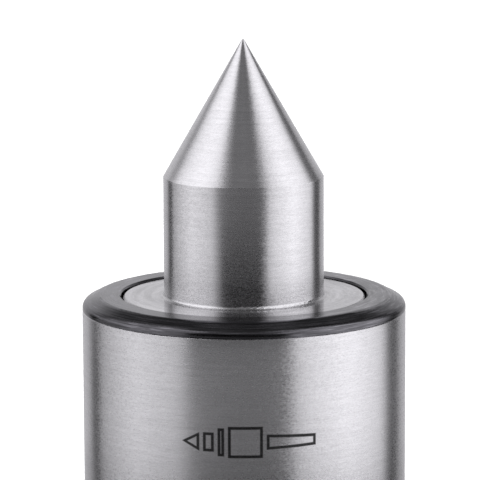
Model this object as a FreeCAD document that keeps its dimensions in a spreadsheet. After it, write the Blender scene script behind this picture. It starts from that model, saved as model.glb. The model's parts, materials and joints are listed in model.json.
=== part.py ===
import FreeCAD, Part
import Sketcher
import math
import os

# Live center for a lathe tailstock, Morse taper 2, with three bearings.
# The frame's origin is the middle of the taper's gauge plane, and +Z points to the 60 degree point.
# Lengths are in millimetres. Heights are measured from the gauge plane.

DIMENSIONS = [
    # Morse taper 2 shank
    ("taper_gauge_diameter", 17.780),
    ("taper_rate", 0.04995),
    ("shank_length", 64.0),
    ("shank_end_chamfer", 1.0),
    ("taper_end_height", 3.5),
    ("neck_diameter", 17.6),
    ("centre_drill_mouth_diameter", 6.3),
    ("centre_drill_diameter", 3.15),
    ("centre_drill_depth", 6.5),
    # Head of the housing
    ("head_diameter", 45.0),
    ("head_rear_height", 5.0),
    ("head_front_height", 51.1),
    ("head_rear_chamfer", 3.0),
    ("head_front_chamfer", 0.15),
    # Bore of the housing, from the front to the tail
    ("nut_thread_diameter", 38.0),
    ("thread_relief_diameter", 38.6),
    ("thread_relief_length", 1.2),
    ("front_bore_step_height", 45.2),
    ("front_bore_floor_height", 27.0),
    ("thrust_relief_diameter", 29.2),
    ("thrust_relief_floor_height", 21.0),
    ("thrust_bore_floor_height", 16.5),
    ("needle_bore_floor_height", 4.5),
    ("tail_hole_diameter", 11.0),
    ("tail_hole_height", -1.0),
    ("drill_point_angle", 118.0),
    # Spindle
    ("point_angle", 60.0),
    ("nose_diameter", 22.25),
    ("nose_length", 16.75),
    ("nose_fillet", 0.45),
    ("nose_edge_radius", 0.12),
    ("point_flat_diameter", 0.3),
    ("flange_diameter", 33.66),
    ("flange_top_height", 52.8),
    ("flange_thickness", 3.0),
    ("flange_chamfer", 0.2),
    ("shoulder_diameter", 20.0),
    ("seat_diameter", 15.0),
    ("thread_end_height", 28.0),
    ("journal_diameter", 12.0),
    ("journal_end_height", 18.0),
    ("tail_diameter", 10.0),
    ("tail_end_height", 1.0),
    ("tail_chamfer", 0.8),
    ("keyway_width", 4.0),
    ("keyway_depth", 1.5),
    # Ring nut
    ("ring_top_height", 53.05),
    ("ring_slope_width", 2.2),
    ("ring_slope_fall", 1.1),
    ("ring_slope_radius", 1.4),
    ("ring_edge_radius", 1.0),
    ("ring_bore_diameter", 34.3),
    ("ring_bore_chamfer", 0.2),
    ("ring_web_front_height", 49.3),
    ("ring_web_rear_height", 46.4),
    ("ring_web_bore_diameter", 20.6),
    ("felt_groove_diameter", 26.0),
    ("felt_groove_rear_height", 47.2),
    ("felt_groove_width", 1.4),
    ("felt_clearance", 0.04),
    ("o_ring_groove_width", 1.4),
    ("o_ring_groove_diameter", 36.1),
    ("o_ring_mouth_diameter", 38.7),
    ("o_ring_section", 1.2),
    # Wave spring
    ("spring_inner_diameter", 30.4),
    ("spring_outer_diameter", 34.4),
    ("spring_sheet", 0.4),
    ("spring_waves", 3),
    # Front bearing, 15 x 35 x 11
    ("front_bearing_bore", 15.0),
    ("front_bearing_outside", 35.0),
    ("front_bearing_width", 11.0),
    ("front_bearing_rear_height", 34.0),
    ("front_inner_land_diameter", 21.7),
    ("front_outer_land_diameter", 28.8),
    ("front_pitch_diameter", 25.0),
    ("front_ball_diameter", 5.953),
    ("front_ball_count", 8),
    ("front_ring_chamfer", 0.5),
    ("shield_seat_diameter", 30.2),
    ("shield_seat_depth", 1.1),
    ("shield_bore_diameter", 22.1),
    ("shield_sheet", 0.35),
    ("shield_rim_height", 0.85),
    ("race_clearance", 0.04),
    ("pocket_clearance", 0.12),
    ("ribbon_width", 2.2),
    ("ribbon_sheet", 0.6),
    ("rivet_diameter", 0.8),
    ("rivet_head_diameter", 1.4),
    ("rivet_head_height", 0.35),
    # Lock washer, lock nut and spacer sleeve
    ("washer_thickness", 1.0),
    ("washer_rim_diameter", 21.0),
    ("washer_tab_diameter", 26.0),
    ("washer_tab_width", 2.6),
    ("washer_tab_count", 13),
    ("washer_key_width", 3.8),
    ("washer_key_reach", 1.3),
    ("bent_tab_width", 3.6),
    ("bent_tab_radius", 11.0),
    ("bent_tab_length", 3.2),
    ("lock_nut_diameter", 25.0),
    ("lock_nut_chamfer", 0.6),
    ("lock_nut_slot_width", 4.0),
    ("lock_nut_slot_depth", 2.0),
    ("lock_nut_slot_count", 4),
    ("sleeve_bore_diameter", 30.0),
    ("sleeve_chamfer", 0.4),
    # Thrust bearing, 12 x 28 x 11, and its shim
    ("thrust_bore", 12.0),
    ("thrust_housing_bore", 14.0),
    ("thrust_shaft_outside", 27.8),
    ("thrust_housing_outside", 28.0),
    ("thrust_bearing_width", 11.0),
    ("thrust_washer_thickness", 3.2),
    ("thrust_washer_chamfer", 0.5),
    ("thrust_pitch_diameter", 20.0),
    ("thrust_ball_diameter", 5.556),
    ("thrust_ball_count", 10),
    ("thrust_cage_inside", 13.2),
    ("thrust_cage_outside", 26.8),
    ("thrust_cage_thickness", 2.4),
    ("shim_thickness", 0.5),
    ("shim_bore_diameter", 14.6),
    # Needle bearing, 10 x 14 x 12
    ("needle_cup_outside", 14.0),
    ("needle_cup_wall", 0.5),
    ("needle_cup_length", 12.0),
    ("needle_cup_lip_bore", 10.7),
    ("needle_pitch_diameter", 11.5),
    ("needle_diameter", 1.44),
    ("needle_length", 9.8),
    ("needle_end_radius", 0.2),
    ("needle_count", 14),
    ("needle_cage_inside", 10.4),
    ("needle_cage_outside", 12.6),
    ("needle_cage_length", 10.8),
    ("needle_pocket_clearance", 0.08),
]

XY_PLANE = "XY_Plane"
XZ_PLANE = "XZ_Plane"
MATCH_TOLERANCE = 0.01

doc = FreeCAD.newDocument("live_center")
sheet = doc.addObject("Spreadsheet::Sheet", "Dims")
for row, (alias, value) in enumerate(DIMENSIONS, start=1):
    sheet.set("A%d" % row, alias)
    sheet.set("B%d" % row, str(value))
    sheet.setAlias("B%d" % row, alias)
doc.recompute()

VALUES = dict(DIMENSIONS)
exported = []


def bind(expression):
    """Write every dimension name in an expression as a reference to the sheet."""
    words = []
    word = ""
    for letter in expression + " ":
        if letter.isalnum() or letter == "_":
            word += letter
            continue
        words.append("Dims." + word if word in VALUES else word)
        words.append(letter)
        word = ""
    return "".join(words).strip()


def bind_property(thing, name, expression):
    thing.setExpression(name, bind(expression))


def measure(thing, expression):
    return float(thing.evalExpression(bind(expression)))


# ---------------------------------------------------------------- helpers for bodies and sketches

def new_body(label):
    body = doc.addObject("PartDesign::Body", label)
    body.Label = label
    exported.append(body)
    return body


def new_sketch(body, name, role=XZ_PLANE):
    sketch = body.newObject("Sketcher::SketchObject", name)
    plane = [feature for feature in body.Origin.OriginFeatures if feature.Role == role][0]
    sketch.AttachmentSupport = [(plane, "")]
    sketch.MapMode = "FlatFace"
    return sketch


def fix_coordinate(sketch, kind, geometry, point, expression):
    """Hold one coordinate of a point at an expression of the sheet."""
    if expression == "0":
        axis = -2 if kind == "DistanceX" else -1
        sketch.addConstraint(Sketcher.Constraint("PointOnObject", geometry, point, axis))
        return
    value = measure(sketch, expression)
    index = sketch.addConstraint(Sketcher.Constraint(kind, -1, 1, geometry, point, value))
    bind_property(sketch, "Constraints[%d]" % index, expression)


def draw_polygon(sketch, corners):
    """Draw a closed outline. Each corner is a pair of expressions of the sheet."""
    places = []
    for across, up in corners:
        places.append(FreeCAD.Vector(measure(sketch, across), measure(sketch, up), 0))
    count = len(places)
    first = sketch.GeometryCount
    for i in range(count):
        sketch.addGeometry(Part.LineSegment(places[i], places[(i + 1) % count]))
    for i in range(count):
        following = first + (i + 1) % count
        sketch.addConstraint(Sketcher.Constraint("Coincident", first + i, 2, following, 1))
    for i, (across, up) in enumerate(corners):
        fix_coordinate(sketch, "DistanceX", first + i, 1, across)
        fix_coordinate(sketch, "DistanceY", first + i, 1, up)


def draw_circle(sketch, across, up, radius):
    size = measure(sketch, radius)
    centre = FreeCAD.Vector(measure(sketch, across), measure(sketch, up), 0)
    circle = Part.Circle(centre, FreeCAD.Vector(0, 0, 1), size)
    index = sketch.addGeometry(circle)
    fix_coordinate(sketch, "DistanceX", index, 3, across)
    fix_coordinate(sketch, "DistanceY", index, 3, up)
    constraint = sketch.addConstraint(Sketcher.Constraint("Radius", index, size))
    bind_property(sketch, "Constraints[%d]" % constraint, radius)


def revolve(body, name, corners):
    """Turn a closed outline of (radius, height) corners round the body's Z axis."""
    sketch = new_sketch(body, name + "_profile")
    draw_polygon(sketch, corners)
    feature = body.newObject("PartDesign::Revolution", name)
    feature.Profile = sketch
    feature.ReferenceAxis = (sketch, ["V_Axis"])
    feature.Angle = 360
    doc.recompute()
    return feature


def finish_cut(body, feature, volume_before):
    doc.recompute()
    if body.Shape.Volume >= volume_before:
        raise RuntimeError(feature.Label + " cuts nothing")
    return feature


def turn_groove(body, name, draw):
    """Cut a turned recess. draw(sketch) draws its closed section."""
    volume_before = body.Shape.Volume
    sketch = new_sketch(body, name + "_profile")
    draw(sketch)
    feature = body.newObject("PartDesign::Groove", name)
    feature.Profile = sketch
    feature.ReferenceAxis = (sketch, ["V_Axis"])
    feature.Angle = 360
    return finish_cut(body, feature, volume_before)


def cut_through(body, name, draw, upward=False):
    """Cut a sketch on the XY plane through the whole body, upward only or both ways."""
    volume_before = body.Shape.Volume
    sketch = new_sketch(body, name + "_profile", XY_PLANE)
    draw(sketch)
    feature = body.newObject("PartDesign::Pocket", name)
    feature.Profile = sketch
    feature.Type = "ThroughAll"
    feature.Midplane = not upward
    feature.Reversed = upward
    return finish_cut(body, feature, volume_before)


def pattern_round(body, name, originals, count_expression):
    """Repeat features round the body's Z axis, and make the pattern the body's result."""
    pattern = body.newObject("PartDesign::PolarPattern", name)
    pattern.Originals = originals
    axis = [feature for feature in body.Origin.OriginFeatures if feature.Role == "Z_Axis"][0]
    pattern.Axis = (axis, [""])
    pattern.Angle = 360
    pattern.Occurrences = int(VALUES[count_expression])
    bind_property(pattern, "Occurrences", count_expression)
    body.Tip = pattern
    doc.recompute()
    return pattern


def circle_edges(shape, rims):
    """Names of the circular edges that lie on the given (radius, height) rims."""
    names = []
    for number, edge in enumerate(shape.Edges, start=1):
        if not isinstance(edge.Curve, Part.Circle):
            continue
        for radius, height in rims:
            same_radius = abs(edge.Curve.Radius - radius) < MATCH_TOLERANCE
            same_height = abs(edge.Curve.Center.z - height) < MATCH_TOLERANCE
            if same_radius and same_height:
                names.append("Edge%d" % number)
    if len(names) < len(rims):
        raise RuntimeError("an edge to be dressed is missing")
    return names


def dress(body, kind, name, rims, size_expression):
    """Chamfer or fillet turned edges. Each rim is a (radius, height) pair of expressions."""
    base = body.Tip
    places = [(measure(base, radius), measure(base, height)) for radius, height in rims]
    feature = body.newObject("PartDesign::" + kind, name)
    feature.Base = (base, circle_edges(base.Shape, places))
    size_name = "Size" if kind == "Chamfer" else "Radius"
    bind_property(feature, size_name, size_expression)
    doc.recompute()
    return feature


def raise_to(thing, height_expression):
    bind_property(thing, "Placement.Base.z", height_expression)


# ---------------------------------------------------------------- helpers for part primitives

def primitive(kind, name, **sizes):
    thing = doc.addObject("Part::" + kind, name)
    for size_name, expression in sizes.items():
        bind_property(thing, size_name, expression)
    return thing


def place_on_circle(thing, radius_expression, step, count_expression, height_expression):
    """Put a primitive at one of the equal steps round a circle."""
    angle = "360 deg * %g / %s" % (step, count_expression)
    bind_property(thing, "Placement.Base.x", "(%s) * cos(%s)" % (radius_expression, angle))
    bind_property(thing, "Placement.Base.y", "(%s) * sin(%s)" % (radius_expression, angle))
    bind_property(thing, "Placement.Base.z", height_expression)


def fuse(name, things):
    joined = doc.addObject("Part::MultiFuse", name)
    joined.Shapes = things
    return joined


def common(name, things):
    overlap = doc.addObject("Part::MultiCommon", name)
    overlap.Shapes = things
    return overlap


def cut(name, base, tool):
    rest = doc.addObject("Part::Cut", name)
    rest.Base = base
    rest.Tool = tool
    return rest


def export_as(thing, label):
    thing.Label = label
    exported.append(thing)
    return thing


# ---------------------------------------------------------------- housing

def build_housing():
    """Head and Morse taper shank, one turned piece, with the stepped bore for the bearings."""
    body = new_body("housing")
    taper_radius = "(taper_gauge_diameter + taper_rate * (%s)) / 2"
    shank_end_radius = taper_radius % "-shank_length"
    revolve(body, "housing_blank", [
        ("0", "-shank_length"),
        (shank_end_radius, "-shank_length"),
        (taper_radius % "taper_end_height", "taper_end_height"),
        ("neck_diameter / 2", "taper_end_height"),
        ("neck_diameter / 2", "head_rear_height"),
        ("head_diameter / 2", "head_rear_height"),
        ("head_diameter / 2", "head_front_height"),
        ("0", "head_front_height"),
    ])

    drill_cone = "tail_hole_height - tail_hole_diameter / 2 / tan(drill_point_angle / 2 * 1 deg)"
    o_ring_floor = "head_front_height - o_ring_groove_width"
    relief_top = "front_bore_step_height + thread_relief_length"
    bore = [
        ("0", "head_front_height"),
        ("o_ring_mouth_diameter / 2", "head_front_height"),
        ("o_ring_mouth_diameter / 2", o_ring_floor),
        ("nut_thread_diameter / 2", o_ring_floor),
        ("nut_thread_diameter / 2", relief_top),
        ("thread_relief_diameter / 2", relief_top),
        ("thread_relief_diameter / 2", "front_bore_step_height"),
        ("front_bearing_outside / 2", "front_bore_step_height"),
        ("front_bearing_outside / 2", "front_bore_floor_height"),
        ("thrust_relief_diameter / 2", "front_bore_floor_height"),
        ("thrust_relief_diameter / 2", "thrust_relief_floor_height"),
        ("thrust_housing_outside / 2", "thrust_relief_floor_height"),
        ("thrust_housing_outside / 2", "thrust_bore_floor_height"),
        ("needle_cup_outside / 2", "thrust_bore_floor_height"),
        ("needle_cup_outside / 2", "needle_bore_floor_height"),
        ("tail_hole_diameter / 2", "needle_bore_floor_height"),
        ("tail_hole_diameter / 2", "tail_hole_height"),
        ("0", drill_cone),
    ]
    turn_groove(body, "bearing_bore", lambda sketch: draw_polygon(sketch, bore))

    mouth_radius = "centre_drill_mouth_diameter / 2"
    pilot_radius = "centre_drill_diameter / 2"
    countersink_end = "-shank_length + (%s - %s) / tan(30 deg)" % (mouth_radius, pilot_radius)
    centre_drill = [
        ("0", "-shank_length"),
        (mouth_radius, "-shank_length"),
        (pilot_radius, countersink_end),
        (pilot_radius, "-shank_length + centre_drill_depth"),
        ("0", "-shank_length + centre_drill_depth + 1"),
    ]
    turn_groove(body, "centre_drill_hole", lambda sketch: draw_polygon(sketch, centre_drill))

    dress(body, "Chamfer", "head_rear_bevel",
          [("head_diameter / 2", "head_rear_height")], "head_rear_chamfer")
    dress(body, "Chamfer", "head_front_edge",
          [("head_diameter / 2", "head_front_height")], "head_front_chamfer")
    dress(body, "Chamfer", "shank_end_edge",
          [(shank_end_radius, "-shank_length")], "shank_end_chamfer")


# ---------------------------------------------------------------- spindle

def build_spindle():
    """Point, nose, flange and stepped shaft, one hardened and ground piece."""
    body = new_body("spindle")
    flange_bottom = "flange_top_height - flange_thickness"
    nose_top = "flange_top_height + nose_length"
    point_fall = "(nose_diameter - point_flat_diameter) / 2 / tan(point_angle / 2 * 1 deg)"
    tip_height = nose_top + " + " + point_fall
    bearing_front = "front_bearing_rear_height + front_bearing_width"
    revolve(body, "spindle_blank", [
        ("0", "tail_end_height"),
        ("tail_diameter / 2", "tail_end_height"),
        ("tail_diameter / 2", "journal_end_height"),
        ("journal_diameter / 2", "journal_end_height"),
        ("journal_diameter / 2", "thread_end_height"),
        ("seat_diameter / 2", "thread_end_height"),
        ("seat_diameter / 2", bearing_front),
        ("shoulder_diameter / 2", bearing_front),
        ("shoulder_diameter / 2", flange_bottom),
        ("flange_diameter / 2", flange_bottom),
        ("flange_diameter / 2", "flange_top_height"),
        ("nose_diameter / 2", "flange_top_height"),
        ("nose_diameter / 2", nose_top),
        ("point_flat_diameter / 2", tip_height),
        ("0", tip_height),
    ])
    dress(body, "Fillet", "nose_root",
          [("nose_diameter / 2", "flange_top_height")], "nose_fillet")
    dress(body, "Fillet", "nose_edge", [("nose_diameter / 2", nose_top)], "nose_edge_radius")
    dress(body, "Chamfer", "flange_edges",
          [("flange_diameter / 2", "flange_top_height"), ("flange_diameter / 2", flange_bottom)],
          "flange_chamfer")
    dress(body, "Chamfer", "tail_edge",
          [("tail_diameter / 2", "tail_end_height")], "tail_chamfer")

    # The keyway runs along the thread, for the inner key of the lock washer.
    volume_before = body.Shape.Volume
    keyway = new_sketch(body, "keyway_profile", XY_PLANE)
    keyway_floor = "seat_diameter / 2 - keyway_depth"
    draw_polygon(keyway, [
        (keyway_floor, "-keyway_width / 2"),
        ("seat_diameter / 2 + 1", "-keyway_width / 2"),
        ("seat_diameter / 2 + 1", "keyway_width / 2"),
        (keyway_floor, "keyway_width / 2"),
    ])
    bind_property(keyway, "AttachmentOffset.Base.z", "thread_end_height")
    pocket = body.newObject("PartDesign::Pocket", "keyway")
    pocket.Profile = keyway
    pocket.Reversed = True
    bind_property(pocket, "Length", "front_bearing_rear_height - thread_end_height")
    finish_cut(body, pocket, volume_before)


# ---------------------------------------------------------------- ring nut and what it holds

def build_ring_nut():
    """Black nut that closes the head. Its thread is plain at the nominal diameter."""
    body = new_body("ring_nut")
    groove_top = "felt_groove_rear_height + felt_groove_width"
    o_ring_floor = "head_front_height - o_ring_groove_width"
    slope_start = "head_diameter / 2 - ring_slope_width"
    slope_end = "ring_top_height - ring_slope_fall"
    revolve(body, "ring_nut_blank", [
        ("ring_web_bore_diameter / 2", "ring_web_rear_height"),
        ("nut_thread_diameter / 2", "ring_web_rear_height"),
        ("nut_thread_diameter / 2", o_ring_floor),
        ("o_ring_groove_diameter / 2", o_ring_floor),
        ("o_ring_groove_diameter / 2", "head_front_height"),
        ("head_diameter / 2", "head_front_height"),
        ("head_diameter / 2", slope_end),
        (slope_start, "ring_top_height"),
        ("ring_bore_diameter / 2", "ring_top_height"),
        ("ring_bore_diameter / 2", "ring_web_front_height"),
        ("ring_web_bore_diameter / 2", "ring_web_front_height"),
        ("ring_web_bore_diameter / 2", groove_top),
        ("felt_groove_diameter / 2", groove_top),
        ("felt_groove_diameter / 2", "felt_groove_rear_height"),
        ("ring_web_bore_diameter / 2", "felt_groove_rear_height"),
    ])
    dress(body, "Fillet", "slope_start", [(slope_start, "ring_top_height")], "ring_slope_radius")
    dress(body, "Fillet", "slope_end", [("head_diameter / 2", slope_end)], "ring_edge_radius")
    dress(body, "Chamfer", "ring_mouth",
          [("ring_bore_diameter / 2", "ring_top_height")], "ring_bore_chamfer")


def build_felt_seal():
    """Felt ring in the nut's groove. It wipes the spindle's shoulder."""
    body = new_body("felt_seal")
    groove_top = "felt_groove_rear_height + felt_groove_width"
    inside = "shoulder_diameter / 2 + felt_clearance"
    revolve(body, "felt_ring", [
        (inside, "felt_groove_rear_height"),
        ("felt_groove_diameter / 2", "felt_groove_rear_height"),
        ("felt_groove_diameter / 2", groove_top),
        (inside, groove_top),
    ])


def build_o_ring():
    """Round rubber ring between the nut's neck and the housing's mouth."""
    middle = "(o_ring_groove_diameter + o_ring_mouth_diameter) / 4"
    ring = primitive("Torus", "o_ring_shape", Radius1=middle, Radius2="o_ring_section / 2")
    raise_to(ring, "head_front_height - o_ring_groove_width / 2")
    export_as(ring, "nut_o_ring")


def build_wave_spring():
    """Wavy sheet ring that presses the front bearing's outer ring rearward."""
    inner = VALUES["spring_inner_diameter"] / 2
    outer = VALUES["spring_outer_diameter"] / 2
    thickness = VALUES["spring_sheet"]
    waves = VALUES["spring_waves"]
    seat = VALUES["front_bearing_rear_height"] + VALUES["front_bearing_width"]
    room = VALUES["ring_web_rear_height"] - seat
    gap = 0.01
    swing = (room - thickness) / 2 - gap
    points_per_wave = 8
    steps = waves * points_per_wave

    def wavy_ring(radius, lift):
        places = []
        for step in range(steps):
            angle = 2 * math.pi * step / steps
            height = seat + gap + swing * (1 + math.sin(waves * angle)) + lift
            places.append(FreeCAD.Vector(radius * math.cos(angle), radius * math.sin(angle), height))
        curve = Part.BSplineCurve()
        curve.interpolate(places, PeriodicFlag=True)
        return Part.Wire([curve.toShape()])

    low_inner = wavy_ring(inner, 0)
    low_outer = wavy_ring(outer, 0)
    high_inner = wavy_ring(inner, thickness)
    high_outer = wavy_ring(outer, thickness)
    faces = []
    for one, other in ((low_inner, low_outer), (low_outer, high_outer),
                       (high_outer, high_inner), (high_inner, low_inner)):
        faces.extend(Part.makeRuledSurface(one, other).Faces)
    solid = Part.makeSolid(Part.makeShell(faces))
    if solid.Volume < 0:
        solid.reverse()
    spring = doc.addObject("Part::Feature", "wave_spring_shape")
    spring.Shape = solid
    export_as(spring, "wave_spring")


# ---------------------------------------------------------------- front bearing

FRONT_MIDDLE = "front_bearing_rear_height + front_bearing_width / 2"


def draw_front_race(sketch):
    draw_circle(sketch, "front_pitch_diameter / 2", "0", "front_ball_diameter / 2 + race_clearance")


def build_front_bearing_rings():
    """Inner and outer ring of the deep groove bearing, each made about its own middle."""
    half = "front_bearing_width / 2"
    inner = new_body("front_bearing_inner_ring")
    revolve(inner, "front_inner_blank", [
        ("front_bearing_bore / 2", "-" + half),
        ("front_inner_land_diameter / 2", "-" + half),
        ("front_inner_land_diameter / 2", half),
        ("front_bearing_bore / 2", half),
    ])
    turn_groove(inner, "front_inner_race", draw_front_race)
    dress(inner, "Chamfer", "front_inner_corners",
          [("front_bearing_bore / 2", "-" + half), ("front_bearing_bore / 2", half)],
          "front_ring_chamfer")
    raise_to(inner, FRONT_MIDDLE)

    outer = new_body("front_bearing_outer_ring")
    step = half + " - shield_seat_depth"
    revolve(outer, "front_outer_blank", [
        ("shield_seat_diameter / 2", "-" + half),
        ("front_bearing_outside / 2", "-" + half),
        ("front_bearing_outside / 2", half),
        ("shield_seat_diameter / 2", half),
        ("shield_seat_diameter / 2", step),
        ("front_outer_land_diameter / 2", step),
        ("front_outer_land_diameter / 2", "-(%s)" % step),
        ("shield_seat_diameter / 2", "-(%s)" % step),
    ])
    turn_groove(outer, "front_outer_race", draw_front_race)
    dress(outer, "Chamfer", "front_outer_corners",
          [("front_bearing_outside / 2", "-" + half), ("front_bearing_outside / 2", half)],
          "front_ring_chamfer")
    raise_to(outer, FRONT_MIDDLE)


def build_front_shield(label, side):
    """Pressed sheet shield held in the outer ring. side is 1 in front and -1 behind."""
    body = new_body(label)
    face = "%d * (front_bearing_width / 2 - 0.2)" % side
    back = "%s - %d * shield_sheet" % (face, side)
    rim_end = "%s - %d * shield_rim_height" % (face, side)
    revolve(body, label + "_sheet", [
        ("shield_bore_diameter / 2", face),
        ("shield_seat_diameter / 2", face),
        ("shield_seat_diameter / 2", rim_end),
        ("shield_seat_diameter / 2 - shield_sheet", rim_end),
        ("shield_seat_diameter / 2 - shield_sheet", back),
        ("shield_bore_diameter / 2", back),
    ])
    raise_to(body, FRONT_MIDDLE)


def build_front_balls():
    for number in range(VALUES["front_ball_count"]):
        ball = primitive("Sphere", "front_ball_shape_%d" % (number + 1),
                         Radius="front_ball_diameter / 2")
        place_on_circle(ball, "front_pitch_diameter / 2", number, "front_ball_count", FRONT_MIDDLE)
        export_as(ball, "front_ball_%d" % (number + 1))


def build_ribbon_half(label, side):
    """Half of the riveted ribbon cage. side is 1 for the front half and -1 for the rear half."""
    reach = "front_ball_diameter / 2 + pocket_clearance + ribbon_sheet + 0.5"
    outside = "(front_pitch_diameter + ribbon_width) / 2"
    inside = "(front_pitch_diameter - ribbon_width) / 2"
    bottom = FRONT_MIDDLE if side > 0 else FRONT_MIDDLE + " - (%s)" % reach
    plate_bottom = FRONT_MIDDLE if side > 0 else FRONT_MIDDLE + " - ribbon_sheet"
    band_outside = primitive("Cylinder", label + "_band_outside", Radius=outside, Height=reach)
    band_inside = primitive("Cylinder", label + "_band_inside", Radius=inside, Height=reach)
    plate = primitive("Cylinder", label + "_plate", Radius=outside, Height="ribbon_sheet")
    raise_to(band_outside, bottom)
    raise_to(band_inside, bottom)
    raise_to(plate, plate_bottom)

    domes = [plate]
    pockets = []
    for number in range(VALUES["front_ball_count"]):
        dome = primitive("Sphere", "%s_dome_%d" % (label, number + 1),
                         Radius="front_ball_diameter / 2 + pocket_clearance + ribbon_sheet")
        pocket = primitive("Sphere", "%s_pocket_%d" % (label, number + 1),
                           Radius="front_ball_diameter / 2 + pocket_clearance")
        hole = primitive("Cylinder", "%s_hole_%d" % (label, number + 1),
                         Radius="rivet_diameter / 2", Height="4 * ribbon_sheet")
        for thing, step, height in (
                (dome, number, FRONT_MIDDLE),
                (pocket, number, FRONT_MIDDLE),
                (hole, number + 0.5, FRONT_MIDDLE + " - 2 * ribbon_sheet")):
            place_on_circle(thing, "front_pitch_diameter / 2", step, "front_ball_count", height)
        domes.append(dome)
        pockets.extend([pocket, hole])
    band = cut(label + "_band", band_outside, band_inside)
    pressed = common(label + "_pressed", [band, fuse(label + "_blank", domes)])
    half = cut(label + "_half", pressed, fuse(label + "_openings", pockets))
    export_as(half, label)


def build_cage_rivets():
    """Rivets between the ball pockets, one group of separate solids."""
    parts = []
    for number in range(VALUES["front_ball_count"]):
        name = "rivet_%d" % (number + 1)
        stem = primitive("Cylinder", name + "_stem", Radius="rivet_diameter / 2",
                         Height="2 * (ribbon_sheet + rivet_head_height)")
        front_head = primitive("Cylinder", name + "_front_head", Radius="rivet_head_diameter / 2",
                               Height="rivet_head_height")
        rear_head = primitive("Cylinder", name + "_rear_head", Radius="rivet_head_diameter / 2",
                              Height="rivet_head_height")
        rear_end = FRONT_MIDDLE + " - ribbon_sheet - rivet_head_height"
        for thing, height in ((stem, rear_end), (rear_head, rear_end),
                              (front_head, FRONT_MIDDLE + " + ribbon_sheet")):
            place_on_circle(thing, "front_pitch_diameter / 2", number + 0.5, "front_ball_count", height)
        parts.extend([stem, front_head, rear_head])
    export_as(fuse("rivets", parts), "front_bearing_cage_rivets")


# ---------------------------------------------------------------- lock washer, lock nut, sleeve

def build_lock_washer():
    """Tab washer. Its key sits in the spindle's keyway, and one tab is bent into the nut."""
    washer_rear = "front_bearing_rear_height - washer_thickness"
    rim = primitive("Cylinder", "washer_rim", Radius="washer_rim_diameter / 2",
                    Height="washer_thickness")
    raise_to(rim, washer_rear)
    shapes = [rim]
    for number in range(VALUES["washer_tab_count"]):
        tab = primitive("Box", "washer_tab_%d" % (number + 1),
                        Length="washer_tab_diameter / 2 - seat_diameter / 2 - 1",
                        Width="washer_tab_width", Height="washer_thickness")
        angle = "360 deg * (%d + 0.5) / washer_tab_count" % number
        start = "(seat_diameter / 2 + 1)"
        bind_property(tab, "Placement.Base.x",
                      "%s * cos(%s) + washer_tab_width / 2 * sin(%s)" % (start, angle, angle))
        bind_property(tab, "Placement.Base.y",
                      "%s * sin(%s) - washer_tab_width / 2 * cos(%s)" % (start, angle, angle))
        bind_property(tab, "Placement.Base.z", washer_rear)
        bind_property(tab, "Placement.Rotation.Angle", angle)
        shapes.append(tab)
    bent_tab = primitive("Box", "washer_bent_tab", Length="washer_thickness",
                         Width="bent_tab_width", Height="bent_tab_length")
    bind_property(bent_tab, "Placement.Base.x", "bent_tab_radius")
    bind_property(bent_tab, "Placement.Base.y", "-bent_tab_width / 2")
    raise_to(bent_tab, "front_bearing_rear_height - bent_tab_length")
    bridge = primitive("Box", "washer_tab_root", Length="bent_tab_radius - seat_diameter / 2",
                       Width="bent_tab_width", Height="washer_thickness")
    bind_property(bridge, "Placement.Base.x", "seat_diameter / 2 + washer_thickness")
    bind_property(bridge, "Placement.Base.y", "-bent_tab_width / 2")
    raise_to(bridge, washer_rear)
    shapes.extend([bent_tab, bridge])

    bore = primitive("Cylinder", "washer_bore", Radius="seat_diameter / 2",
                     Height="washer_thickness")
    key = primitive("Box", "washer_key", Length="washer_key_reach + 1",
                    Width="washer_key_width", Height="washer_thickness")
    bind_property(key, "Placement.Base.x", "seat_diameter / 2 - washer_key_reach")
    bind_property(key, "Placement.Base.y", "-washer_key_width / 2")
    raise_to(bore, washer_rear)
    raise_to(key, washer_rear)
    ring = cut("washer_ring", fuse("washer_blank", shapes), bore)
    export_as(fuse("washer_with_key", [ring, key]), "lock_washer")


def build_lock_nut():
    """Slotted round nut on the spindle's thread, plain at the nominal diameter."""
    body = new_body("lock_nut")
    nut_front = "front_bearing_rear_height - washer_thickness"
    revolve(body, "lock_nut_blank", [
        ("seat_diameter / 2", "thread_end_height"),
        ("lock_nut_diameter / 2", "thread_end_height"),
        ("lock_nut_diameter / 2", nut_front),
        ("seat_diameter / 2", nut_front),
    ])
    dress(body, "Chamfer", "lock_nut_edges",
          [("lock_nut_diameter / 2", "thread_end_height"), ("lock_nut_diameter / 2", nut_front)],
          "lock_nut_chamfer")
    slot_floor = "lock_nut_diameter / 2 - lock_nut_slot_depth"
    slot = [
        (slot_floor, "-lock_nut_slot_width / 2"),
        ("lock_nut_diameter / 2 + 1", "-lock_nut_slot_width / 2"),
        ("lock_nut_diameter / 2 + 1", "lock_nut_slot_width / 2"),
        (slot_floor, "lock_nut_slot_width / 2"),
    ]
    pocket = cut_through(body, "lock_nut_slot", lambda sketch: draw_polygon(sketch, slot), True)
    pattern_round(body, "lock_nut_slots", [pocket], "lock_nut_slot_count")


def build_spacer_sleeve():
    """Sleeve between the housing's step and the front bearing's outer ring."""
    body = new_body("spacer_sleeve")
    revolve(body, "sleeve_blank", [
        ("sleeve_bore_diameter / 2", "front_bore_floor_height"),
        ("front_bearing_outside / 2", "front_bore_floor_height"),
        ("front_bearing_outside / 2", "front_bearing_rear_height"),
        ("sleeve_bore_diameter / 2", "front_bearing_rear_height"),
    ])
    dress(body, "Chamfer", "sleeve_corners",
          [("front_bearing_outside / 2", "front_bore_floor_height"),
           ("front_bearing_outside / 2", "front_bearing_rear_height")],
          "sleeve_chamfer")


# ---------------------------------------------------------------- thrust bearing

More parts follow.
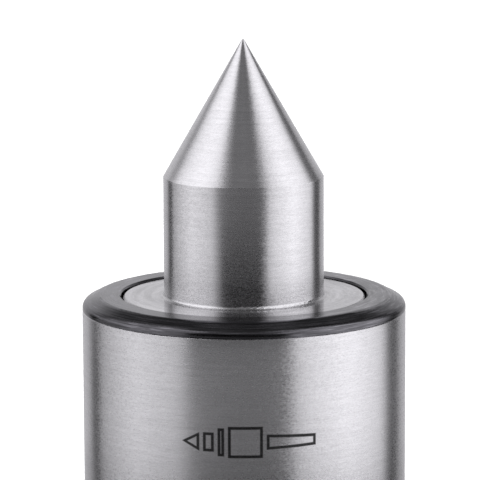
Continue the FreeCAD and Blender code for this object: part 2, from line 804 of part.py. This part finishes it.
THRUST_FRONT = "thrust_bore_floor_height + shim_thickness + thrust_bearing_width"
THRUST_MIDDLE = "thrust_bore_floor_height + shim_thickness + thrust_bearing_width / 2"


def draw_thrust_race(sketch):
    draw_circle(sketch, "thrust_pitch_diameter / 2", "0",
                "thrust_ball_diameter / 2 + race_clearance")


def build_thrust_washer(label, side, bore, outside):
    """Grooved race washer, made about the balls' plane. side is 1 in front and -1 behind."""
    body = new_body(label)
    face = "%d * thrust_bearing_width / 2" % side
    inner_face = "%d * (thrust_bearing_width / 2 - thrust_washer_thickness)" % side
    revolve(body, label + "_blank", [
        (bore, face),
        (outside, face),
        (outside, inner_face),
        (bore, inner_face),
    ])
    turn_groove(body, label + "_race", draw_thrust_race)
    dress(body, "Chamfer", label + "_corner", [(outside, face)], "thrust_washer_chamfer")
    raise_to(body, THRUST_MIDDLE)


def build_thrust_balls():
    for number in range(VALUES["thrust_ball_count"]):
        ball = primitive("Sphere", "thrust_ball_shape_%d" % (number + 1),
                         Radius="thrust_ball_diameter / 2")
        place_on_circle(ball, "thrust_pitch_diameter / 2", number, "thrust_ball_count",
                        THRUST_MIDDLE)
        export_as(ball, "thrust_ball_%d" % (number + 1))


def build_thrust_cage():
    """Flat ring with a round pocket for each ball."""
    body = new_body("thrust_cage")
    half = "thrust_cage_thickness / 2"
    revolve(body, "thrust_cage_blank", [
        ("thrust_cage_inside / 2", "-" + half),
        ("thrust_cage_outside / 2", "-" + half),
        ("thrust_cage_outside / 2", half),
        ("thrust_cage_inside / 2", half),
    ])
    pocket = cut_through(body, "thrust_cage_pocket", lambda sketch: draw_circle(
        sketch, "thrust_pitch_diameter / 2", "0", "thrust_ball_diameter / 2 + pocket_clearance"))
    pattern_round(body, "thrust_cage_pockets", [pocket], "thrust_ball_count")
    raise_to(body, THRUST_MIDDLE)


def build_thrust_shim():
    body = new_body("thrust_shim")
    shim_front = "thrust_bore_floor_height + shim_thickness"
    revolve(body, "shim_sheet", [
        ("shim_bore_diameter / 2", "thrust_bore_floor_height"),
        ("thrust_housing_outside / 2 - 0.1", "thrust_bore_floor_height"),
        ("thrust_housing_outside / 2 - 0.1", shim_front),
        ("shim_bore_diameter / 2", shim_front),
    ])


# ---------------------------------------------------------------- needle bearing

NEEDLE_MIDDLE = "needle_bore_floor_height + needle_cup_length / 2"


def build_needle_cup():
    """Drawn cup, open at both ends, with a lip at each end."""
    body = new_body("needle_cup")
    half = "needle_cup_length / 2"
    lip = half + " - needle_cup_wall"
    raceway = "needle_cup_outside / 2 - needle_cup_wall"
    revolve(body, "needle_cup_shell", [
        ("needle_cup_lip_bore / 2", "-" + half),
        ("needle_cup_outside / 2", "-" + half),
        ("needle_cup_outside / 2", half),
        ("needle_cup_lip_bore / 2", half),
        ("needle_cup_lip_bore / 2", lip),
        (raceway, lip),
        (raceway, "-(%s)" % lip),
        ("needle_cup_lip_bore / 2", "-(%s)" % lip),
    ])
    raise_to(body, NEEDLE_MIDDLE)


def build_needles():
    for number in range(VALUES["needle_count"]):
        rod = primitive("Cylinder", "needle_rod_%d" % (number + 1),
                        Radius="needle_diameter / 2", Height="needle_length")
        place_on_circle(rod, "needle_pitch_diameter / 2", number, "needle_count",
                        NEEDLE_MIDDLE + " - needle_length / 2")
        doc.recompute()
        rounded = doc.addObject("Part::Fillet", "needle_shape_%d" % (number + 1))
        rounded.Base = rod
        radius = VALUES["needle_end_radius"]
        rounded.Edges = [(index, radius, radius) for index, edge in enumerate(rod.Shape.Edges, start=1)
                         if isinstance(edge.Curve, Part.Circle)]
        export_as(rounded, "needle_%d" % (number + 1))


def build_needle_cage():
    """Thin sleeve with a long round-backed pocket for each needle."""
    length = "needle_cage_length"
    bottom = NEEDLE_MIDDLE + " - needle_cage_length / 2"
    outside = primitive("Cylinder", "needle_cage_outer_wall", Radius="needle_cage_outside / 2",
                        Height=length)
    inside = primitive("Cylinder", "needle_cage_inner_wall", Radius="needle_cage_inside / 2",
                       Height=length)
    raise_to(outside, bottom)
    raise_to(inside, bottom)
    sleeve = cut("needle_cage_sleeve", outside, inside)
    pockets = []
    for number in range(VALUES["needle_count"]):
        pocket = primitive("Cylinder", "needle_pocket_%d" % (number + 1),
                           Radius="needle_diameter / 2 + needle_pocket_clearance",
                           Height="needle_length + 2 * needle_pocket_clearance")
        place_on_circle(pocket, "needle_pitch_diameter / 2", number, "needle_count",
                        NEEDLE_MIDDLE + " - needle_length / 2 - needle_pocket_clearance")
        pockets.append(pocket)
    export_as(cut("needle_cage_shape", sleeve, fuse("needle_pockets", pockets)), "needle_cage")


# ---------------------------------------------------------------- assembly

build_housing()
build_spindle()
build_ring_nut()
build_felt_seal()
build_o_ring()
build_wave_spring()
build_front_bearing_rings()
build_front_shield("front_bearing_shield_front", 1)
build_front_shield("front_bearing_shield_rear", -1)
build_front_balls()
build_ribbon_half("front_bearing_cage_front", 1)
build_ribbon_half("front_bearing_cage_rear", -1)
build_cage_rivets()
build_lock_washer()
build_lock_nut()
build_spacer_sleeve()
build_thrust_washer("thrust_shaft_washer", 1, "thrust_bore / 2", "thrust_shaft_outside / 2")
build_thrust_washer("thrust_housing_washer", -1, "thrust_housing_bore / 2",
                    "thrust_housing_outside / 2")
build_thrust_balls()
build_thrust_cage()
build_thrust_shim()
build_needle_cup()
build_needles()
build_needle_cage()
doc.recompute()

for thing in doc.Objects:
    if "Invalid" in thing.State or "Error" in thing.State:
        raise RuntimeError("%s did not compute: %s" % (thing.Label, thing.State))
for thing in exported:
    if thing.Shape.isNull() or not thing.Shape.isValid():
        raise RuntimeError(thing.Label + " has no valid shape")

os.makedirs("parts", exist_ok=True)
for thing in exported:
    thing.Shape.exportStep("parts/%s.step" % thing.Label)
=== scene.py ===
import json
import math

import bpy
from mathutils import Matrix, Vector


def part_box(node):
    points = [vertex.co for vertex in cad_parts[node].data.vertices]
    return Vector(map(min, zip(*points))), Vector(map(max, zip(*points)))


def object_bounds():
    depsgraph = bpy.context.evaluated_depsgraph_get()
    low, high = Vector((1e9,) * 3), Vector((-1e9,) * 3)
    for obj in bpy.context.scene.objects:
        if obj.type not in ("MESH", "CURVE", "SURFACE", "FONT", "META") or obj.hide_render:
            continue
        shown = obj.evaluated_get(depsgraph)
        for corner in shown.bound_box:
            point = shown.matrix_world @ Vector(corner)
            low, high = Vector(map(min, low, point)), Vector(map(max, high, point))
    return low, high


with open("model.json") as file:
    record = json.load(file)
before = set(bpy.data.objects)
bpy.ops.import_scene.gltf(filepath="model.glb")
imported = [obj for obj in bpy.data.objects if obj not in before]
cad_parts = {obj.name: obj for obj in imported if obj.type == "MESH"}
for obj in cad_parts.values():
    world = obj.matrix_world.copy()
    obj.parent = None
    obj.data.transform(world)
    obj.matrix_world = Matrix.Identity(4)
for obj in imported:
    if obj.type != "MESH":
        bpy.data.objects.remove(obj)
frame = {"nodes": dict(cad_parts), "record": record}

cad_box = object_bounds()
MM = 0.001
nodes = frame["nodes"]

# Places on the object that the looks are worked out from, in metres.
FLOOR_HEIGHT = cad_box[0].z
HEAD_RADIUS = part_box("housing")[1].x
HEAD_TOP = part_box("housing")[1].z
FLANGE_BELOW_NUT = 0.25 * MM
FLANGE_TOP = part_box("ring_nut")[1].z - FLANGE_BELOW_NUT


# ---------------------------------------------------------------- node helpers

# Rings on a face lie 1 / RING_SHARE times as far apart as hoops on a side.
RING_SHARE = 0.3

# A whole turn is 1 on the shader's rotation socket.
QUARTER_TURN = 0.25


class Graph:
    """Short calls that add nodes to one material or world."""

    def __init__(self, owner):
        owner.use_nodes = True
        self.tree = owner.node_tree
        self.tree.nodes.clear()

    def add(self, kind, **settings):
        node = self.tree.nodes.new(kind)
        for name, value in settings.items():
            setattr(node, name, value)
        return node

    def feed(self, socket, value):
        """Put a number, a tuple or another node's output into a socket."""
        if isinstance(value, bpy.types.NodeSocket):
            self.tree.links.new(value, socket)
        else:
            socket.default_value = value

    def math(self, operation, first, second=None, third=None):
        node = self.add("ShaderNodeMath", operation=operation)
        for socket, value in zip(node.inputs, (first, second, third)):
            if value is not None:
                self.feed(socket, value)
        return node.outputs[0]

    def combine(self, x, y, z):
        node = self.add("ShaderNodeCombineXYZ")
        for socket, value in zip(node.inputs, (x, y, z)):
            self.feed(socket, value)
        return node.outputs[0]

    def noise(self, vector, scale, detail=2.0, roughness=0.5):
        node = self.add("ShaderNodeTexNoise", noise_dimensions="3D")
        self.feed(node.inputs["Vector"], vector)
        node.inputs["Scale"].default_value = scale
        node.inputs["Detail"].default_value = detail
        node.inputs["Roughness"].default_value = roughness
        return node.outputs["Fac"]

    def spread(self, value, low, high, to_low=0.0, to_high=1.0):
        """Stretch the range from low to high onto the one from to_low to to_high, and clamp it there."""
        node = self.add("ShaderNodeMapRange")
        self.feed(node.inputs["Value"], value)
        for name, number in (("From Min", low), ("From Max", high), ("To Min", to_low), ("To Max", to_high)):
            node.inputs[name].default_value = number
        return node.outputs["Result"]

    def vector_math(self, operation, first, second=None, scale=None):
        node = self.add("ShaderNodeVectorMath", operation=operation)
        self.feed(node.inputs[0], first)
        if second is not None:
            self.feed(node.inputs[1], second)
        if scale is not None:
            self.feed(node.inputs["Scale"], scale)
        return node.outputs[0]


def object_place(graph):
    """X, Y and Z on the object, and the distance from its axis, all in metres."""
    place = graph.add("ShaderNodeTexCoord").outputs["Object"]
    split = graph.add("ShaderNodeSeparateXYZ")
    graph.feed(split.inputs[0], place)
    x, y, z = split.outputs
    squares = graph.math("ADD", graph.math("MULTIPLY", x, x), graph.math("MULTIPLY", y, y))
    return place, x, y, z, graph.math("SQRT", squares)


def turned_lines(graph, x, y, z, radius, pitch, length):
    """Lines round the axis, as grinding or turning leaves them: hoops on a side, coarser rings on a face."""
    across = graph.math("MULTIPLY_ADD", radius, -RING_SHARE, z)
    vector = graph.combine(graph.math("MULTIPLY", x, 1 / length),
                           graph.math("MULTIPLY", y, 1 / length),
                           graph.math("MULTIPLY", across, 1 / pitch))
    return graph.noise(vector, 1.0, 3.0, 0.6)


def shader(graph, colour, roughness, metallic=1.0, normal=None, anisotropy=0.0):
    """The surface shader. With anisotropy, highlights are drawn out across the lines round the axis."""
    principled = graph.add("ShaderNodeBsdfPrincipled")
    graph.feed(principled.inputs["Base Color"], colour)
    graph.feed(principled.inputs["Roughness"], roughness)
    principled.inputs["Metallic"].default_value = metallic
    if normal is not None:
        graph.feed(principled.inputs["Normal"], normal)
    if anisotropy:
        principled.inputs["Anisotropic"].default_value = anisotropy
        principled.inputs["Anisotropic Rotation"].default_value = QUARTER_TURN
        tangent = graph.add("ShaderNodeTangent", direction_type="RADIAL", axis="Z")
        graph.feed(principled.inputs["Tangent"], tangent.outputs[0])
    output = graph.add("ShaderNodeOutputMaterial")
    graph.feed(output.inputs["Surface"], principled.outputs[0])
    return principled


def bump(graph, height, distance):
    node = graph.add("ShaderNodeBump")
    node.inputs["Distance"].default_value = distance
    graph.feed(node.inputs["Height"], height)
    return node.outputs[0]


def tint(graph, colour, amount):
    """One grey-level factor over a colour."""
    return graph.vector_math("SCALE", colour, scale=amount)


def sway(graph, normal, amount):
    """Turn a normal a little round the axis, so that each line mirrors a slightly different place."""
    round_axis = graph.add("ShaderNodeTangent", direction_type="RADIAL", axis="Z").outputs[0]
    shift = graph.vector_math("SCALE", round_axis, scale=amount)
    return graph.vector_math("NORMALIZE", graph.vector_math("ADD", normal, shift))


def end_face(graph):
    """1 on a face square to the axis and 0 on a side. It fades out as a face begins to slope."""
    split = graph.add("ShaderNodeSeparateXYZ")
    graph.feed(split.inputs[0], graph.add("ShaderNodeNewGeometry").outputs["True Normal"])
    return graph.spread(graph.math("ABSOLUTE", split.outputs["Z"]), 0.90, 0.97)


# ---------------------------------------------------------------- the etched pictogram on the head

MARK_WIDTH = 18.6 * MM
MARK_HALF_HEIGHT = 2.2 * MM
MARK_HEIGHT = HEAD_TOP - 14.1 * MM
MARK_TURN = math.radians(1.5)
MARK_STROKE = 0.40 * MM
MARK_BLUR = 0.10 * MM
MARK_DARKNESS = 0.95
MARK_ROUGHER = 0.35


def etched_pictogram(graph, x, y, z):
    """Line drawing of a point, its nose, a ring, a head and a tapered shank, lying on their side.

    It is 1 where it is etched and 0 elsewhere.
    """
    angle = graph.math("ARCTAN2", x, graph.math("MULTIPLY", y, -1.0))
    along = graph.math("MULTIPLY_ADD", graph.math("SUBTRACT", angle, MARK_TURN), HEAD_RADIUS, MARK_WIDTH / 2)
    up = graph.math("ABSOLUTE", graph.math("SUBTRACT", z, MARK_HEIGHT))

    def wedge(first, last, half_first, half_last):
        """How deep a place lies inside a block whose half height runs evenly from one end to the other."""
        slope = (half_last - half_first) / (last - first)
        limit = graph.math("MULTIPLY_ADD", graph.math("SUBTRACT", along, first), slope, half_first)
        from_first = graph.math("SUBTRACT", along, first)
        from_last = graph.math("SUBTRACT", last, along)
        ends = graph.math("MINIMUM", from_first, from_last)
        return graph.math("MINIMUM", ends, graph.math("SUBTRACT", limit, up))

    pieces = [
        wedge(0.0, 2.6 * MM, 0.0, 0.62 * MARK_HALF_HEIGHT),
        wedge(3.0 * MM, 4.6 * MM, 0.62 * MARK_HALF_HEIGHT, 0.62 * MARK_HALF_HEIGHT),
        wedge(5.0 * MM, 6.0 * MM, 0.90 * MARK_HALF_HEIGHT, 0.90 * MARK_HALF_HEIGHT),
        wedge(6.4 * MM, 11.2 * MM, MARK_HALF_HEIGHT, MARK_HALF_HEIGHT),
        wedge(11.6 * MM, MARK_WIDTH, 0.50 * MARK_HALF_HEIGHT, 0.38 * MARK_HALF_HEIGHT),
    ]
    depth = pieces[0]
    for piece in pieces[1:]:
        depth = graph.math("MAXIMUM", depth, piece)
    rise = graph.spread(depth, 0.0, MARK_BLUR)
    fall = graph.spread(depth, MARK_STROKE, MARK_STROKE + MARK_BLUR, 1.0, 0.0)
    return graph.math("MULTIPLY", rise, fall)


# ---------------------------------------------------------------- materials

# A turned face is darker and smoother than a ground side.
FACE_DARKER = 0.20
FACE_SMOOTHER = 0.15


def new_graph(name):
    material = bpy.data.materials.new(name)
    return material, Graph(material)


def ground_steel(name, colour, roughness, anisotropy, line_share, swing, marked=False):
    """Cylindrically ground steel: a satin grain of very short scratches, faint hoops, and handling marks.

    swing is how far, in radians, the normal turns from one scratch to the next.
    """
    material, graph = new_graph(name)
    place, x, y, z, radius = object_place(graph)
    face = end_face(graph)
    grain = turned_lines(graph, x, y, z, radius, 0.16 * MM, 0.38 * MM)
    scratches = turned_lines(graph, x, y, z, radius, 0.14 * MM, 1.6 * MM)
    hoops = turned_lines(graph, x, y, z, radius, 0.45 * MM, 16 * MM)
    patches = graph.noise(place, 55.0, 3.0)
    lines = graph.math("ADD", graph.math("MULTIPLY", scratches, 0.30), graph.math("MULTIPLY", hoops, 0.20))
    lines = graph.math("MULTIPLY_ADD", grain, 0.50, lines)
    level = graph.spread(lines, 0.38, 0.62, 1 - line_share, 1 + line_share)
    face_rings = graph.math("MULTIPLY", graph.math("SUBTRACT", hoops, 0.5), face)
    level = graph.math("ADD", level, face_rings)
    level = graph.math("MULTIPLY_ADD", face, -FACE_DARKER, level)
    level = graph.math("MULTIPLY", level, graph.spread(patches, 0.3, 0.7, 0.975, 1.02))
    rough = graph.spread(grain, 0.3, 0.7, roughness - 0.06, roughness + 0.06)
    rough = graph.math("MULTIPLY_ADD", face, -FACE_SMOOTHER, rough)
    rough = graph.math("ADD", rough, graph.spread(patches, 0.35, 0.7, -0.015, 0.03))
    if marked:
        mask = etched_pictogram(graph, x, y, z)
        speckle = graph.noise(place, 9000.0, 2.0)
        depth = graph.math("MULTIPLY", mask, graph.spread(speckle, 0.35, 0.65, 0.88, 1.0))
        left = graph.math("SUBTRACT", 1.0, graph.math("MULTIPLY", depth, MARK_DARKNESS))
        level = graph.math("MULTIPLY", level, left)
        rough = graph.math("ADD", rough, graph.math("MULTIPLY", mask, MARK_ROUGHER))
    relief = bump(graph, lines, 0.008 * MM)
    normal = sway(graph, relief, graph.spread(grain, 0.3, 0.7, -swing, swing))
    shader(graph, tint(graph, colour, level), rough, normal=normal, anisotropy=anisotropy)
    return material


def black_oxide(name, colour):
    """Blackened steel with an oily film: turning marks, some of them worn a little greyer."""
    material, graph = new_graph(name)
    place, x, y, z, radius = object_place(graph)
    fine = turned_lines(graph, x, y, z, radius, 0.20 * MM, 12 * MM)
    scratches = turned_lines(graph, x, y, z, radius, 0.16 * MM, 4 * MM)
    worn = graph.spread(scratches, 0.50, 0.80, 0.0, 2.0)
    patches = graph.noise(place, 120.0, 4.0)
    level = graph.math("ADD", graph.spread(fine, 0.3, 0.7, 0.45, 1.5), worn)
    level = graph.math("MULTIPLY", level, graph.spread(patches, 0.3, 0.7, 0.7, 1.3))
    rough = graph.spread(fine, 0.3, 0.7, 0.14, 0.26)
    lines = graph.math("ADD", fine, scratches)
    normal = sway(graph, bump(graph, lines, 0.010 * MM), graph.spread(scratches, 0.3, 0.7, -0.03, 0.03))
    shader(graph, tint(graph, colour, level), rough, normal=normal, anisotropy=0.35)
    return material


def polished_steel(name, colour, roughness):
    """Lapped bearing steel: almost mirror, with hair-fine lines."""
    material, graph = new_graph(name)
    place, x, y, z, radius = object_place(graph)
    fine = turned_lines(graph, x, y, z, radius, 0.08 * MM, 15 * MM)
    level = graph.spread(fine, 0.3, 0.7, 0.96, 1.03)
    rough = graph.spread(graph.noise(place, 300.0, 3.0), 0.3, 0.7, roughness * 0.7, roughness * 1.4)
    shader(graph, tint(graph, colour, level), rough, normal=bump(graph, fine, 0.001 * MM))
    return material


def sheet_metal(name, colour, roughness):
    """Pressed or rolled sheet: cloudy, slightly uneven, no turning marks."""
    material, graph = new_graph(name)
    place = object_place(graph)[0]
    clouds = graph.noise(place, 420.0, 5.0)
    level = graph.spread(clouds, 0.3, 0.7, 0.86, 1.08)
    rough = graph.spread(clouds, 0.3, 0.7, roughness - 0.06, roughness + 0.08)
    shader(graph, tint(graph, colour, level), rough, normal=bump(graph, clouds, 0.01 * MM))
    return material


def felt(name, colour):
    """Pressed wool: tangled short fibres with a soft sheen."""
    material, graph = new_graph(name)
    place = object_place(graph)[0]
    fibres = graph.noise(place, 2600.0, 6.0, 0.7)
    level = graph.spread(fibres, 0.3, 0.7, 0.72, 1.12)
    relief = bump(graph, fibres, 0.08 * MM)
    principled = shader(graph, tint(graph, colour, level), 0.95, metallic=0.0, normal=relief)
    principled.inputs["Sheen Weight"].default_value = 0.5
    return material


def black_rubber(name, colour):
    """Moulded rubber, matte, with a fine grain."""
    material, graph = new_graph(name)
    place = object_place(graph)[0]
    grain = graph.noise(place, 5200.0, 3.0)
    level = graph.spread(grain, 0.3, 0.7, 0.8, 1.25)
    relief = bump(graph, grain, 0.01 * MM)
    shader(graph, tint(graph, colour, level), 0.62, metallic=0.0, normal=relief)
    return material


MATERIALS = {
    "ground_steel": ground_steel("ground_steel", (0.665, 0.66, 0.67), roughness=0.29, anisotropy=0.70,
                                 line_share=0.15, swing=0.025, marked=True),
    "point_steel": ground_steel("point_steel", (0.67, 0.665, 0.675), roughness=0.27, anisotropy=0.90,
                                line_share=0.15, swing=0.016),
    "turned_steel": ground_steel("turned_steel", (0.60, 0.60, 0.61), roughness=0.33, anisotropy=0.4,
                                 line_share=0.10, swing=0.025),
    "brass": ground_steel("brass", (0.72, 0.56, 0.30), roughness=0.30, anisotropy=0.3,
                          line_share=0.06, swing=0.025),
    "black_oxide": black_oxide("black_oxide", (0.107, 0.105, 0.113)),
    "bearing_steel": polished_steel("bearing_steel", (0.72, 0.72, 0.73), roughness=0.12),
    "ball_steel": polished_steel("ball_steel", (0.80, 0.80, 0.81), roughness=0.05),
    "cage_steel": sheet_metal("cage_steel", (0.55, 0.55, 0.56), roughness=0.35),
    "spring_steel": sheet_metal("spring_steel", (0.40, 0.41, 0.43), roughness=0.30),
    "zinc_steel": sheet_metal("zinc_steel", (0.62, 0.64, 0.66), roughness=0.38),
    "felt": felt("felt", (0.75, 0.72, 0.66)),
    "rubber": black_rubber("rubber", (0.03, 0.03, 0.03)),
}

for row in frame["record"]["subparts"]:
    piece = nodes[row["node"]]
    piece.data.materials.clear()
    piece.data.materials.append(MATERIALS[row["material_slot"]])


# ---------------------------------------------------------------- stage, light and camera

def floor_paper():
    material, graph = new_graph("floor_paper")
    place = object_place(graph)[0]
    level = graph.spread(graph.noise(place, 30.0), 0.3, 0.7, 0.99, 1.01)
    shader(graph, tint(graph, (0.92, 0.92, 0.92), level), 0.9, metallic=0.0)
    return material


def mesh_piece(name, corners, faces, material):
    mesh = bpy.data.meshes.new(name)
    mesh.from_pydata(corners, [], faces)
    mesh.materials.append(material)
    piece = bpy.data.objects.new(name, mesh)
    bpy.context.scene.collection.objects.link(piece)
    return piece


# A light tent stands round the object. Only what mirrors sees it, so it isn't in the picture and doesn't
# light or shade the floor. Each stop is an azimuth in degrees, 0 in front and positive to the right, then
# the tent's radiance there low down, higher up and at the top. The dim stretch in front makes the dark band.
TENT_RADIUS = 380 * MM
TENT_FOOT = FLOOR_HEIGHT + 1 * MM
TENT_TOP = 900 * MM
TENT_INNER_RADIUS = 50 * MM
TENT_TINT = (0.995, 0.985, 1.02, 1.0)
TENT_STOPS = [
    (-180, 0.75, 0.75, 0.12),
    (-164, 0.62, 0.70, 0.12),
    (-150, 0.55, 0.66, 0.12),
    (-140, 0.50, 0.58, 0.15),
    (-135, 0.11, 0.40, 0.20),
    (-126, 0.00, 0.50, 0.50),
    (-120, 0.45, 0.92, 1.00),
    (-110, 0.57, 1.25, 1.30),
    (-80, 0.93, 1.46, 1.46),
    (-60, 0.77, 1.40, 1.40),
    (-46, 0.68, 1.15, 1.15),
    (-36, 0.26, 0.32, 0.42),
    (-24, 0.245, 0.03, 0.22),
    (0, 0.215, 0.015, 0.25),
    (24, 0.22, 0.02, 0.21),
    (29, 0.22, 0.12, 0.20),
    (37, 0.91, 0.57, 0.56),
    (50, 1.09, 1.08, 1.06),
    (76, 1.37, 1.46, 1.46),
    (104, 1.02, 1.35, 1.35),
    (112, 0.93, 1.25, 1.25),
    (121, 0.08, 0.18, 0.18),
    (136, 0.09, 0.12, 0.12),
    (141, 0.45, 0.45, 0.12),
    (160, 0.60, 0.58, 0.12),
    (180, 0.75, 0.75, 0.12),
]

# A flag and a skirt stand closer in. A mirrored ray that crosses the skirt at one azimuth would have met
# the tent at a wider one, so the skirt's azimuths are stretched to keep the bands in line.
FLAG_RADIUS = 36 * MM
FLAG_FOOT = FLANGE_TOP - 3.8 * MM
FLAG_TOP = FLANGE_TOP + 4.7 * MM
FLAG_RADIANCE = 0.01
SKIRT_RADIUS = 60 * MM
SKIRT_FOOT = -2 * MM
SKIRT_TOP = 20 * MM
SKIRT_PARALLAX = 1.17

# The skirt is black up to the first of these azimuths to each side. From there its share of the tent's light
# rises by 1 over the second number of degrees, up to the lightest share.
SKIRT_BLACK_TO = 15.0
SKIRT_RISE = 150.0
SKIRT_LIGHTEST = 0.9


def build_floor():
    reach = 6.0
    floor = mesh_piece("floor", [(-reach, -reach, FLOOR_HEIGHT), (reach, -reach, FLOOR_HEIGHT),
                                 (reach, reach, FLOOR_HEIGHT), (-reach, reach, FLOOR_HEIGHT)],
                       [(0, 1, 2, 3)], floor_paper())


def toward(azimuth_deg, distance, height):
    """A place round the object. Azimuth 0 is straight in front, and positive is to the right."""
    turn = math.radians(azimuth_deg)
    return Vector((math.sin(turn) * distance, -math.cos(turn) * distance, height))


def tent_radiance(azimuth_deg):
    """The tent's radiances at one azimuth, from the foot up, on straight lines between the stops."""
    for (first, *first_levels), (last, *last_levels) in zip(TENT_STOPS, TENT_STOPS[1:]):
        if first <= azimuth_deg <= last:
            share = (azimuth_deg - first) / (last - first)
            return [a + (b - a) * share for a, b in zip(first_levels, last_levels)]


def mirrored_sheet(name, azimuths, rows, radiance_at):
    """A sheet bent round the object that only mirrors see, with the radiance stored on its corners.

    Each row is a distance from the axis, a height and a layer, and radiance_at(azimuth, layer) is its light.
    """
    corners = [toward(azimuth, distance, height) for azimuth in azimuths for distance, height, layer in rows]
    radiance = [radiance_at(azimuth, layer) for azimuth in azimuths for distance, height, layer in rows]
    faces = []
    for column in range(len(azimuths) - 1):
        for row in range(len(rows) - 1):
            low_left = column * len(rows) + row
            faces.append((low_left, low_left + len(rows), low_left + len(rows) + 1, low_left + 1))
    material, graph = new_graph(name + "_light")
    emission = graph.add("ShaderNodeEmission")
    emission.inputs["Color"].default_value = TENT_TINT
    stored = graph.add("ShaderNodeAttribute", attribute_name="radiance")
    graph.feed(emission.inputs["Strength"], stored.outputs["Fac"])
    output = graph.add("ShaderNodeOutputMaterial")
    graph.feed(output.inputs["Surface"], emission.outputs[0])
    sheet = mesh_piece(name, corners, faces, material)
    sheet.data.attributes.new("radiance", "FLOAT", "POINT").data.foreach_set("value", radiance)
    sheet.visible_camera = False
    sheet.visible_diffuse = False
    sheet.visible_shadow = False


def build_tent():
    """A round wall and the ring of ground inside it. Its light changes from one layer to the next between
    70 and 130 mm and between 200 and 320 mm.
    """
    rows = [(TENT_INNER_RADIUS, TENT_FOOT, 0), (TENT_RADIUS, TENT_FOOT, 0), (TENT_RADIUS, 70 * MM, 0),
            (TENT_RADIUS, 130 * MM, 1), (TENT_RADIUS, 200 * MM, 1),
            (TENT_RADIUS, 320 * MM, 2), (TENT_RADIUS, TENT_TOP, 2)]
    mirrored_sheet("tent", range(-180, 181, 2), rows, lambda azimuth, layer: tent_radiance(azimuth)[layer])


def build_near_flag():
    """A narrow dark strip close in front. It darkens the foot of the nose."""
    rows = [(FLAG_RADIUS, FLAG_FOOT, 0), (FLAG_RADIUS, FLAG_TOP, 0)]
    mirrored_sheet("near_flag", range(-28, 23, 2), rows, lambda azimuth, layer: FLAG_RADIANCE)


def build_near_skirt():
    """A dimmer sheet low down and close in. The head mirrors more of it toward its rear.

    It is black in front, and behind it reaches nearly the light of the tent.
    """
    rows = [(SKIRT_RADIUS, SKIRT_FOOT, 0), (SKIRT_RADIUS, SKIRT_TOP, 0)]

    def radiance(azimuth, layer):
        far_azimuth = max(-180.0, min(180.0, azimuth * SKIRT_PARALLAX))
        share = max(0.0, min(SKIRT_LIGHTEST, (abs(azimuth) - SKIRT_BLACK_TO) / SKIRT_RISE))
        return share * tent_radiance(far_azimuth)[0]

    mirrored_sheet("near_skirt", range(-180, 181, 3), rows, radiance)


def build_overhead_light():
    """A broad soft light straight above for the floor. What mirrors sees the dim sky there instead."""
    light = bpy.data.lights.new("overhead_light", "SUN")
    light.energy = 3.4
    light.angle = math.radians(70)
    lamp = bpy.data.objects.new("overhead_light", light)
    lamp.visible_glossy = False
    bpy.context.scene.collection.objects.link(lamp)


def build_world():
    """A sky that is bright at the horizon and dim overhead."""
    world = bpy.data.worlds.new("studio")
    graph = Graph(world)
    direction = graph.add("ShaderNodeTexCoord").outputs["Generated"]
    split = graph.add("ShaderNodeSeparateXYZ")
    graph.feed(split.inputs[0], direction)
    background = graph.add("ShaderNodeBackground")
    background.inputs["Color"].default_value = (1.0, 1.0, 1.0, 1.0)
    horizon, overhead = 1.0, 0.12
    strength = graph.spread(split.outputs["Z"], 0.1, 0.8, horizon, overhead)
    graph.feed(background.inputs["Strength"], strength)
    output = graph.add("ShaderNodeOutputWorld")
    graph.feed(output.inputs["Surface"], background.outputs[0])
    bpy.context.scene.world = world


def build_camera():
    """A long lens, a little above the head and looking slightly down at the nose."""
    distance = 465.8 * MM
    elevation = math.radians(9.94)
    roll = math.radians(-0.25)
    aim_right = -0.52 * MM
    aim_above_flange = 7.732 * MM
    aim = Vector((aim_right, 0.0, FLANGE_TOP + aim_above_flange))
    data = bpy.data.cameras.new("camera")
    data.sensor_width = 36.0
    data.lens = 251.5
    data.clip_start = 0.01
    data.clip_end = 20.0
    camera = bpy.data.objects.new("camera", data)
    back = Vector((0.0, -math.cos(elevation), math.sin(elevation)))
    camera.location = aim + back * distance
    camera.rotation_mode = "QUATERNION"
    level = (-back).to_track_quat("-Z", "Y")
    camera.rotation_quaternion = (Matrix.Rotation(roll, 4, back) @ level.to_matrix().to_4x4()).to_quaternion()
    bpy.context.scene.collection.objects.link(camera)
    bpy.context.scene.camera = camera


build_floor()
build_tent()
build_near_flag()
build_near_skirt()
build_overhead_light()
build_world()
build_camera()

bpy.context.scene.view_settings.view_transform = "Standard"
